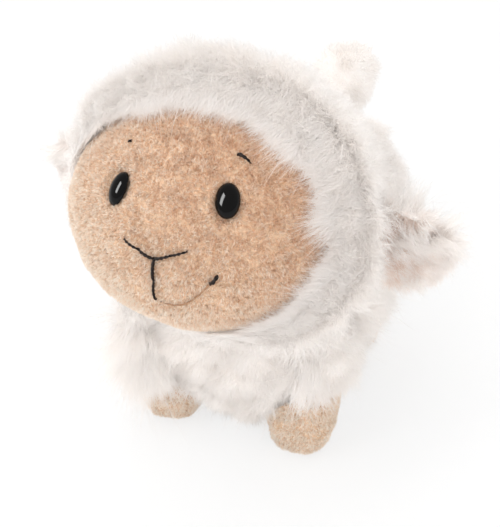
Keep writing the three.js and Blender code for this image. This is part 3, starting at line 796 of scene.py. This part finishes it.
class SHEEP_OT_hood(bpy.types.Operator):
    """Hood: wool round the head that falls over the rim of the face"""

    bl_idname = "sheep.hood"
    bl_label = "Hood wool"

    def execute(self, context):
        backing = wool_piece("hood_wool", HOOD_PANELS + ["head_stuffing"], HOOD_PANELS, FACE_PANELS, "sheep", 0.95,
                             2, hood_lean, temples, draw=drawn_to_rim, rise=hood_rise, lay=over_face,
                             keep_if=lambda points: behind_seam(points) > -0.5 * MM)
        self.fringe(backing)
        return {"FINISHED"}

    def fringe(self, backing):
        """Locks rooted along the seam and up to 15 mm behind it, which lie in over the short pile."""
        pile = bpy.context.scene.sheep_pile
        rng = np.random.default_rng(pile.seed + 90)
        locks, band = 5200, 15
        points, outs, inward = rim_of_face(locks, rng)
        behind = (band * rng.random(len(points)) ** 1.4 - 0.5) * MM
        points = at_height(points - inward * behind[:, None], np.interp(behind, [0, 12 * MM], [0.8 * MM, 7 * MM]))
        brush = brushed(points)
        keep = rng.random(len(points)) < 1.6 * brush
        points, outs, inward, brush, behind = (x[keep] for x in (points, outs, inward, brush, behind))
        jag = 1 + 0.3 * lumps(points, 8 * MM, 91) + 0.12 * rng.uniform(-1, 1, len(points))
        # The locks are longest where they are brushed forward, above all low down on the toy's left.
        high = np.clip((points - head_centre())[:, 2] / (40 * MM), 0, 1)
        low = np.clip((head_centre() - points)[:, 2] / (40 * MM), 0, 1)
        reach = pile.wool_length * (0.15 + 0.65 * brush + 0.2 * high + 0.55 * low * brush) * np.clip(jag, 0.4, 1.5)
        reach = reach + 0.25 * behind
        lie = inward + np.array([0, 0, -0.2]) + 0.25 * swirl(points, 12 * MM, 93)
        lie = lie + (low * brush)[:, None] * np.array([-0.8, 0, 1.1])
        # Further behind the seam they stand up more and lie forward less.
        far = np.clip(behind / (band * MM), 0, 1)
        lie = lie * (1 - 0.65 * far[:, None])
        spec = wool_spec(pile, strands=26, spread=3.2 * MM, up=0.5 + 0.25 * far, gather=0.4, fray=0.2, ruffle=0.42,
                         stray=0.06)
        grow("hood_fringe", points, outs, tangent(outs, lie), reach, spec, WOOL, backing, "sheep",
             rng, lay=over_face)


def temples(points):
    """The hood's wool is fuller over the root of each ear."""
    out = np.ones(len(points))
    for word, side in SIDES.items():
        spot = ear_root(f"{word}_ear_back", side) + np.array([2 * side, 0, 12]) * MM
        out += (0.9 if side > 0 else 1.2) * np.exp(-(((points - spot) / (14 * MM)) ** 2).sum(1))
    return out


def rim_of_face(count, rng):
    """Places along the seam between face and hood: points, ways out and ways towards the face."""
    start, forward, up = seam_frame()
    middle, radii = head_centre(), head_radii()
    angle = rng.uniform(0, 2 * math.pi, count)
    way = np.cos(angle)[:, None] * np.array([1, 0, 0]) + np.sin(angle)[:, None] * up
    a = ((way / radii) ** 2).sum(1)
    b = 2 * (way * (start - middle) / radii**2).sum(1)
    c = (((start - middle) / radii) ** 2).sum() - 1
    points = start + way * ((-b + np.sqrt(b * b - 4 * a * c)) / (2 * a))[:, None]
    outs = unit((points - middle) / radii**2)
    return points, outs, unit(tangent(outs, forward))


class SHEEP_OT_tail(bpy.types.Operator):
    """Tail: a wool ball on the rump"""

    bl_idname = "sheep.tail"
    bl_label = "Tail wool"

    def execute(self, context):
        wool_piece("tail_wool", ["tail_cover", "tail_stuffing"], ["tail_cover"], BODY_PANELS[:2], "tail", 0.9, 3,
                   coat_lean, depth=4 * MM, length=5.5 * MM, voxel=1.4 * MM, lump=0.8 * MM)
        return {"FINISHED"}


class SHEEP_OT_ears(bpy.types.Operator):
    """Ears: a wool back that comes round the rim, and a short-pile lining in the hollow of one flat sewn flap"""

    bl_idname = "sheep.ears"
    bl_label = "Ears"

    def execute(self, context):
        # The way across the flap, towards its upper edge.
        across = np.array([0, 0.53, 0.85])
        for word, side in SIDES.items():
            back, lining = f"{word}_ear_back", f"{word}_ear_lining"
            root = ear_root(back, side)
            middle = vertices_of(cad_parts[back].data).mean(0)
            corner = unit(np.array([0.9 * side, 0.38, 0.25]))

            def outward(points, ways):
                """The wool runs from the root to the rim and hangs a little."""
                return 0.45 * unit(points - root) + np.array([0, 0, -0.1])

            def upper(points):
                """The wool is fuller along the ear's upper edge and short at its tip."""
                high = (points - middle) @ across / (16 * MM)
                far = np.linalg.norm(points - root, axis=1) / (30 * MM)
                return 0.8 + 1.5 * np.clip(high, -0.2, 1) * np.clip(1.2 - far, 0, 1)

            def standing(points):
                """The wool stands up along the ear's upper edge."""
                return 0.5 + 0.45 * np.clip((points - middle) @ across / (12 * MM), 0, 1)

            def rounded(points):
                """The flap's far upper corner is drawn in."""
                past = (points - middle) @ corner
                return points - corner * (3.5 * MM * ease((past - 4 * MM) / (14 * MM)))[:, None]

            # The ear that the camera sees end on keeps shorter wool.
            length = (8.5 if side > 0 else 6) * MM
            backing = wool_piece(f"{word}_ear_wool", [back, lining], [back], [], f"{word}_ear", 0.35, 40 + side,
                                 outward, upper, depth=0.3 * MM, length=length, voxel=0.8 * MM, rounds=5,
                                 lump=0.2 * MM, draw=rounded, rise=standing, strands=40, spread=2.6 * MM)
            self.lining(word, side, root, cad_tree([back]), cad_tree([lining]), backing)
        return {"FINISHED"}

    def lining(self, word, side, root, back, lining, backing):
        """Short soft pile on the lining's side, longer at the rim, and painted darker in the hollow as the shade
        that falls there.
        """
        pile = bpy.context.scene.sheep_pile
        rng = np.random.default_rng(pile.seed + 50 + side)
        points, ways = spots_on(backing.data, 2.0 * MM * MM, rng)
        # What is nearer to the lining than to the wool back belongs to it.
        gap = nearest(points, lining) - nearest(points, back)
        points, ways = points[gap < 0.4 * MM], ways[gap < 0.4 * MM]
        # Painted shade: the lining's tone is lowered in the hollow near the root, except at the rim.
        hollow = np.exp(-((np.linalg.norm(points - root, axis=1) - 8 * MM) / (11 * MM)) ** 2)
        rim = 1 - ease(nearest(points, back) / (1.6 * MM))
        reach = (4.8 + 2.5 * rim) * MM * (1 + 0.12 * lumps(points, 8 * MM, 3))
        way = 0.4 * unit(points - root) + 0.2 * swirl(points, 14 * MM, 5) + np.array([0, 0, -0.1])
        spec = short_spec(pile, strands=16, spread=1.8 * MM, up=0.5, grain=0.06, mottle=0.04, rings=3, fray=0.2,
                          width=0.2 * MM)
        grow(f"{word}_ear_lining_pile", points, ways, tangent(ways, way), reach, spec, "Brushed tricot pile",
             backing, f"{word}_ear", rng, 0.9 - 0.6 * hollow * (1 - rim))


def ear_root(node, side):
    """Middle of the seam that joins an ear to the hood."""
    points = vertices_of(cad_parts[node].data)
    order = np.argsort(points[:, 0] * side)
    return points[order[: max(6, len(order) // 12)]].mean(0)


def nearest(points, tree):
    """Distance from each point to a tree's surface."""
    return np.array([tree.find_nearest(p)[3] for p in points.tolist()])


# ---- the face ----


def head_centre():
    """The middle of the short-pile head, from the CAD face's front."""
    face = bpy.context.scene.sheep_face
    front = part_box("face_left_panel")[0].y
    return np.array([0, front + face.head_depth / 2, face.head_rise])


def on_face(across, rise):
    """A place on the face at shares of its half width and half height, and the way out of it."""
    radii = head_radii()
    spot = np.array([across, -math.sqrt(1 - across**2 - rise**2), rise])
    return head_centre() + spot * radii, unit(spot / radii)


def eye_frame(side):
    """An eye's own axes, its X across, Y up and Z out of the face, seated in the pile."""
    face = bpy.context.scene.sheep_face
    place, out = on_face(side * face.eye_across + face.eye_shift, face.eye_rise + side * face.eye_slant)
    outwards = math.radians(8)
    lean = np.array([side * math.sin(outwards), 0, 1])
    across = unit(np.cross(lean, out))
    up = np.cross(out, across)
    turn = math.radians(face.eye_turn if side < 0 else 0) * side
    out = math.cos(turn) * out + math.sin(turn) * across
    across = np.cross(up, out)
    matrix = Matrix.Identity(4)
    for i, axis in enumerate((across, up, out)):
        matrix.col[i] = (*axis, 0)
    sink = face.eye_sink + face.eye_width / 2 * abs(math.sin(turn)) * 0.5
    matrix.col[3] = (*(place - out * sink), 1)
    return matrix


def stitch_lines():
    """The nose's three lines, each by its ends, and the smile's places, all as shares of the face."""
    face = bpy.context.scene.sheep_face
    junction, drop = (0, face.nose_rise), (0, face.nose_rise - face.nose_drop)
    low = face.nose_rise - face.nose_drop - 0.04
    nose = []
    for side in (-1, 1):
        # The right arm is sewn a little longer and lower.
        wide, lift = (1.07, 0.85) if side < 0 else (1, 1)
        end = (side * wide * face.nose_half_width, face.nose_rise + lift * face.nose_arm_lift)
        nose.append((end, junction))
    nose.append((junction, drop))
    smile = []
    for share in (i / 20 - 1 for i in range(41)):
        lift = share**2 * (face.smile_corner - low)
        dip = face.smile_dip * math.sin(math.pi * abs(share)) ** 2
        smile.append((share * face.smile_half_width, low + lift - dip))
    return nose, smile


class SHEEP_OT_face(bpy.types.Operator):
    """Face: a stuffed ball of short pile, parted round the eyes and the sewn lines"""

    bl_idname = "sheep.face"
    bl_label = "Face pile"

    def execute(self, context):
        pile = context.scene.sheep_pile
        face = context.scene.sheep_face
        rng = np.random.default_rng(pile.seed + 60)
        mesh = sewn_form("face_cover", FACE_PANELS + ["head_stuffing"], 1.5 * MM, 10, pile.short_depth,
                         0.25 * MM, 22 * MM, 4)
        backing = backing_piece("face_cover", mesh, "Knitted polyester backing", "sheep", FACE_PANELS)
        points, ways = spots_on(mesh, pile.short_area * MM * MM, rng)
        keep = near(points, cad_tree(FACE_PANELS), pile.short_depth + 1.5 * MM)
        # No pile grows under the eyes' domes, nor right beside the sewn lines.
        for side in (-1, 1):
            flat = np.array(eye_frame(side).inverted())
            local = points @ flat[:3, :3].T + flat[:3, 3]
            inside = (local[:, 0] / (face.eye_width / 2)) ** 2 + (local[:, 1] / (face.eye_height / 2)) ** 2 < 0.8
            keep &= ~(inside & (np.abs(local[:, 2]) < 8 * MM))
        for a, b, clear in self.sewn():
            way = b - a
            along = np.clip(((points - a) @ way) / (way @ way), 0, 1)[:, None]
            keep &= np.linalg.norm(points - a - along * way, axis=1) > clear
        points, ways = points[keep], ways[keep]
        reach = pile.short_length * (1 + 0.15 * lumps(points, 9 * MM, 6))
        way = np.array([0, 0, -0.12]) + 0.25 * swirl(points, 4 * MM, 7)
        # Painted light: the pile's tone is raised towards the chin and the right cheek, as if the lamps lit that
        # side more strongly.
        painted_light = ((head_centre() - points) / head_radii()) @ np.array([0.6, 0, 0.6])
        grow("face_pile", points, ways, tangent(ways, way), reach, short_spec(pile), SHORT, backing,
             "sheep", rng, 0.58 + 0.34 * painted_light)
        return {"FINISHED"}

    def sewn(self):
        """Straight parts of nose, left smile and left brow, and how far the pile is parted beside each."""
        face = bpy.context.scene.sheep_face
        nose, smile = stitch_lines()
        for start, end in nose:
            points = [on_face(*(np.array(start) + (np.array(end) - start) * t / 4))[0] for t in range(5)]
            yield from ((a, b, face.thread_width * 0.75) for a, b in zip(points, points[1:]))
        arc = [on_face(*place)[0] for place in smile[22:]]
        yield from ((a, b, face.fine_width * 0.4) for a, b in zip(arc, arc[1:]))
        start, end = brow_line(1)
        yield on_face(*start)[0], on_face(*end)[0], face.thread_width * 0.6


def brow_line(side):
    """The inner and outer end of a brow, as shares."""
    face = bpy.context.scene.sheep_face
    inset = face.brow_inset + side * face.brow_shift
    start = (side * inset, face.brow_rise)
    end = (side * (inset + face.brow_length), face.brow_rise - face.brow_fall)
    return start, end


class SHEEP_OT_feet(bpy.types.Operator):
    """Feet: four stuffed cups of short pile, flat under the sole"""

    bl_idname = "sheep.feet"
    bl_label = "Feet"

    def execute(self, context):
        pile = context.scene.sheep_pile
        covers = cad_tree(BODY_PANELS + SLEEVES)
        for i, limb in enumerate(LIMBS):
            rng = np.random.default_rng(pile.seed + 70 + i)
            own = [f"{limb}_foot"]
            mesh = sewn_form(f"{limb}_foot_cover", own + [f"{limb}_leg_stuffing"], 1.1 * MM, 8, 0.9 * MM, 0.2 * MM,
                             12 * MM, 8 + i)
            backing = backing_piece(f"{limb}_foot_cover", mesh, "Knitted polyester backing", "sheep", own)
            points, ways = spots_on(mesh, pile.short_area * MM * MM, rng)
            keep = near(points, cad_tree(own), 2.2 * MM) & (room(points, ways, covers, 4 * MM) > 1 * MM)
            points, ways = points[keep], ways[keep]
            # The pile is short towards the sole and doesn't reach through the ground.
            sole = np.clip(points[:, 2] / (4 * MM), 0.35, 1)
            reach = pile.short_length * 0.9 * sole * (1 + 0.15 * lumps(points, 9 * MM, 6))
            reach = np.where(ways[:, 2] < -0.2, np.minimum(reach, np.maximum(points[:, 2], 0.3 * MM)), reach)
            way = np.array([0, 0, -0.1]) + 0.25 * swirl(points, 4 * MM, 30 + i)
            grow(f"{limb}_foot_pile", points, ways, tangent(ways, way), reach, short_spec(pile), SHORT,
                 backing, "sheep", rng, 0.78)
        return {"FINISHED"}


def bands(first, count, sides):
    """Quads that join count rings of points to the next ones, from the point numbered first."""
    for i in range(first, first + count * sides, sides):
        for j in range(sides):
            a, b = i + j, i + (j + 1) % sides
            yield a, b, b + sides, a + sides


def eye_mesh(name, rows=26, columns=48):
    """A moulded oval dome with a rolled rim and a shank behind it."""
    face = bpy.context.scene.sheep_face
    # The profile turns a third past the dome's widest place, which rolls the rim under.
    past_rim = 1.35
    shank, shank_start, shank_end, shank_tip = 1.8 * MM, 1.6 * MM, 10.8 * MM, 11 * MM
    rings = []
    for i in range(1, rows):
        turn = math.pi * 0.5 * i / rows * past_rim
        reach, rise = math.sin(turn) / 2, math.cos(turn)
        depth = (face.eye_dome if rise > 0 else face.eye_sink) * rise
        rings.append((reach * face.eye_width, reach * face.eye_height, depth))
    rings += [(shank, shank, -shank_start), (shank, shank, -shank_end)]
    angles = [2 * math.pi * j / columns for j in range(columns)]
    points = [(x * math.cos(angle), y * math.sin(angle), z) for x, y, z in rings for angle in angles]
    points = [(0, 0, face.eye_dome), *points, (0, 0, -shank_tip)]
    end = len(points) - 1
    faces = [(a, d, c, b) for a, b, c, d in bands(1, len(rings) - 1, columns)]
    for j in range(columns):
        following = (j + 1) % columns
        faces += [(0, 1 + j, 1 + following), (end - columns + j, end, end - columns + following)]
    return smooth_mesh(name, points, faces)


class SHEEP_OT_eyes(bpy.types.Operator):
    """Eyes: two polished oval domes locked by washers behind the cloth"""

    bl_idname = "sheep.eyes"
    bl_label = "Eyes"

    def execute(self, context):
        looks = sheep_materials()
        for word, side in SIDES.items():
            mesh = eye_mesh(f"{word}_eye_dome")
            mesh.transform(eye_frame(side))
            eye = mesh_object(f"{word}_eye_dome", mesh, looks["Moulded black acrylic"], "sheep")
            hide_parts(f"{word}_eye")
            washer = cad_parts[f"{word}_eye_washer"]
            washer.data.materials.clear()
            washer.data.materials.append(looks["Moulded polypropylene"])
        return {"FINISHED"}


def thread_tube(points, faces, line, outs, radius, pitch, taper, sides=8, plies=2):
    """Adds one twisted thread along a line of places, outs being the ways out of the cloth there.

    pitch is the length of one twist, and taper the thickness at each place as a share of the full one.
    """
    line, outs, taper = np.array(line), np.array(outs), np.array(taper)[:, None, None]
    way = unit(np.gradient(line, axis=0))
    side = unit(np.cross(way, outs))
    lift = np.cross(side, way)
    run = np.concatenate([[0], np.cumsum(np.linalg.norm(np.diff(line, axis=0), axis=1))])
    angle = 2 * math.pi * np.arange(sides)[None, :, None] / sides
    around = np.cos(angle) * side[:, None] + np.sin(angle) * lift[:, None]
    # How far a ply winds round the thread's middle, and how thick it is, as shares of the thread's radius.
    wound, thick = 0.38, 0.68
    for ply in range(plies):
        turn = (run / pitch * 2 * math.pi + math.pi * ply)[:, None]
        middle = line + wound * radius * (np.cos(turn) * side + np.sin(turn) * lift)
        first, last = len(points), len(points) + (len(line) - 1) * sides
        points += (middle[:, None] + radius * thick * taper * around).reshape(-1, 3).tolist()
        faces += bands(first, len(line) - 1, sides)
        faces += [tuple(range(first, first + sides))[::-1], tuple(range(last, last + sides))]


def sewn_line(start, end, width, stitches, lift=0.4, thin=(1, 1)):
    """One straight sewn line made of stitches, each a thread that arches over the pile and dives at both ends.

    lift is the arch's height, and thin the thickness at the line's two ends, all as shares of the width.
    """
    start, end = np.array(start, float), np.array(end, float)
    # A small gap is left between stitches, and their ends dive to about half a width under the pile.
    for k in range(stitches):
        a = start + (end - start) * (k + 0.02) / stitches
        b = start + (end - start) * (k + 0.98) / stitches
        line, outs, taper = [], [], []
        for t in np.linspace(0, 1, 25):
            place, out = on_face(*(a + (b - a) * t))
            arch = math.sin(math.pi * t) ** 0.5
            line.append(place + out * width * (lift * arch + min(lift, -0.55) * (1 - arch)))
            outs.append(out)
            along = (k + t) / stitches
            taper.append((0.7 + 0.3 * arch) * (thin[0] + (thin[1] - thin[0]) * along))
        yield line, outs, width / 2, width * 2.8, taper


def thread_piece(name, threads, node, look=THREAD, parent=None):
    """Threads as one piece, in a CAD node's place or on another thread."""
    points, faces = [], []
    for thread in threads:
        thread_tube(points, faces, *thread)
    piece = mesh_object(name, smooth_mesh(name, points, faces), sheep_materials()[look], "sheep", parent)
    if parent is None:
        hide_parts(node)
    return piece


class SHEEP_OT_stitches(bpy.types.Operator):
    """Nose, smile and brows: twisted thread laid on the face in separate stitches"""

    bl_idname = "sheep.stitches"
    bl_label = "Sewn features"

    def execute(self, context):
        face = context.scene.sheep_face
        nose, smile = stitch_lines()
        threads = []
        for start, end in nose:
            thin = (0.55, 1.1) if end == (0, face.nose_rise) else (1.25, 0.75)
            threads += sewn_line(start, end, face.thread_width, 2, thin=thin)
        thread_piece("nose_thread", threads, "nose_stitch")
        # The crease is pulled in all along, deepest on the right, where the pile closes over it.
        sunk = np.interp(np.arange(len(smile)), [0, 18, 24, 40], [2.0, 1.8, 1.0, 0.5])
        line, outs = zip(*(on_face(*place) for place in smile))
        line = [place - out * face.fine_width * s for place, out, s in zip(line, outs, sunk)]
        thread = line, outs, face.fine_width * 0.36, face.fine_width * 2, [1.0] * len(line)
        crease = thread_piece("smile_thread", [thread], "smile_stitch", "Tonal sewing thread")
        # The right knot lies under the pile.
        for word, before, end, lift in (("right", smile[1], smile[0], -1.5), ("left", smile[-3], smile[-1], 0.5)):
            knot = sewn_line(before, end, face.thread_width * 1.3, 1, lift, (0.8, 1.1))
            thread_piece(f"{word}_smile_knot", knot, None, parent=crease)
        for word, side in SIDES.items():
            start, end = brow_line(side)
            # The left brow is a plump stitch that thins outwards, the right one is all but lost in the pile.
            lift, thin = (0.5, (1.5, 0.5)) if side > 0 else (-0.55, (0.4, 1.0))
            if side < 0:
                start = tuple(np.array(end) + 0.3 * (np.array(start) - end))
            brow = sewn_line(start, end, face.thread_width, 1, lift, thin)
            thread_piece(f"{word}_brow_thread", brow, f"{word}_brow_stitch")
        return {"FINISHED"}


# ---- the stage ----


class SHEEP_OT_stage(bpy.types.Operator):
    """Stage: floor, soft studio light and the camera"""

    bl_idname = "sheep.stage"
    bl_label = "Stage"

    def execute(self, context):
        scene = context.scene
        floor, reach = bpy.data.meshes.new("floor"), 6.0
        corners = [(x * reach, y * reach, 0) for x, y in ((-1, -1), (1, -1), (1, 1), (-1, 1))]
        floor.from_pydata(corners, [], [(0, 1, 2, 3)])
        # Matt painted board that glows a little to the camera, so that it comes out nearly white.
        material, tree = new_material("Painted studio floor")
        path = add(tree, "ShaderNodeLightPath").outputs["Is Camera Ray"]
        paint = add(tree, "ShaderNodeBsdfDiffuse", {"Color": (*scene.sheep_colours.backdrop, 1)})
        glow = add(tree, "ShaderNodeEmission", {"Strength": 1.0})
        seen = add(tree, "ShaderNodeMath", {"operation": "MULTIPLY", 1: 0.75}, {0: path})
        mix = add(tree, "ShaderNodeMixShader", links={0: seen, 1: paint, 2: glow})
        add(tree, "ShaderNodeOutputMaterial", links={"Surface": mix})
        floor.materials.append(material)
        collection_link(bpy.data.objects.new("floor", floor))

        scene.world = bpy.data.worlds.new("studio")
        scene.world.use_nodes = True
        tree = scene.world.node_tree
        tree.nodes.clear()
        path = add(tree, "ShaderNodeLightPath").outputs["Is Camera Ray"]
        fill = add(tree, "ShaderNodeBackground", {"Color": (1, 1, 1, 1), "Strength": 0.74})
        white = add(tree, "ShaderNodeBackground", {"Color": (1, 1, 1, 1), "Strength": 1.0})
        mix = add(tree, "ShaderNodeMixShader", links={0: path, 1: fill, 2: white})
        add(tree, "ShaderNodeOutputWorld", links={"Surface": mix})

        # Soft boxes aimed at the toy: place, size and watts. The tall one named catch gives the polished eyes
        # their highlight and lights nothing else, and the others give no highlight.
        target = Vector((0, 0, 0.08))
        for name, place, size, power in (
            ("key", (-0.5, -0.95, 1.25), (0.42, 1.3), 8),
            ("catch", (-0.68, -1.03, 1.22), (0.6, 1.3), 75),
            ("top", (-0.3, 0.1, 1.5), (1.0, 1.0), 6),
            ("fill", (0.9, -1.1, 0.35), (0.9, 0.7), 5),
        ):
            lamp = bpy.data.lights.new(name, "AREA")
            lamp.shape = "RECTANGLE"
            lamp.size, lamp.size_y = size
            lamp.energy = power
            box = collection_link(bpy.data.objects.new(name, lamp))
            box.location = place
            box.rotation_euler = (target - Vector(place)).to_track_quat("-Z", "Y").to_euler()
            box.visible_glossy = name == "catch"
            box.visible_diffuse = box.visible_transmission = name != "catch"

        # The camera was fitted to the photograph: its focal length in pixels, its direction and its distance.
        focal, picture_width, distance = 1590, 500, 0.64
        azimuth, elevation = math.radians(22), math.radians(35)
        camera = bpy.data.cameras.new("camera")
        camera.sensor_fit = "HORIZONTAL"
        camera.sensor_width = 36
        camera.lens = 36 * focal / picture_width
        camera.clip_start = 0.01
        view = collection_link(bpy.data.objects.new("camera", camera))
        level = math.cos(elevation)
        back = Vector((math.sin(azimuth) * level, -math.cos(azimuth) * level, math.sin(elevation)))
        middle = Vector((-2.5 * MM, self.shift() - 9 * MM, 69.5 * MM))
        view.location = middle + back * distance
        view.rotation_euler = (-back).to_track_quat("-Z", "Y").to_euler()
        scene.camera = view
        scene.view_settings.view_transform = "Standard"
        return {"FINISHED"}

    def shift(self):
        """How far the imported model's box was moved along Y from the toy's own plan."""
        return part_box("face_left_panel")[0].y + 102.5 * MM


class SHEEP_PT_panel(bpy.types.Panel):
    bl_label = "Plush sheep"
    bl_idname = "SHEEP_PT_panel"
    bl_space_type = "VIEW_3D"
    bl_region_type = "UI"
    bl_category = "Sheep"

    def draw(self, context):
        for group in (context.scene.sheep_pile, context.scene.sheep_colours, context.scene.sheep_face):
            box = self.layout.box()
            for name in group.__annotations__:
                box.prop(group, name)
        for step in STEPS:
            self.layout.operator(step.bl_idname)


STEPS = (
    SHEEP_OT_stage,
    SHEEP_OT_body,
    SHEEP_OT_sleeves,
    SHEEP_OT_hood,
    SHEEP_OT_face,
    SHEEP_OT_feet,
    SHEEP_OT_tail,
    SHEEP_OT_ears,
    SHEEP_OT_eyes,
    SHEEP_OT_stitches,
)
GROUPS = {"sheep_pile": SheepPile, "sheep_colours": SheepColours, "sheep_face": SheepFace}


def register():
    for name, group in GROUPS.items():
        bpy.utils.register_class(group)
        setattr(bpy.types.Scene, name, PointerProperty(type=group))
    for step in STEPS:
        bpy.utils.register_class(step)
    bpy.utils.register_class(SHEEP_PT_panel)


def unregister():
    bpy.utils.unregister_class(SHEEP_PT_panel)
    for step in reversed(STEPS):
        bpy.utils.unregister_class(step)
    for name, group in GROUPS.items():
        delattr(bpy.types.Scene, name)
        bpy.utils.unregister_class(group)


def main():
    register()
    for step in STEPS:
        group, name = step.bl_idname.split(".")
        getattr(getattr(bpy.ops, group), name)()


if __name__ == "__main__":
    main()
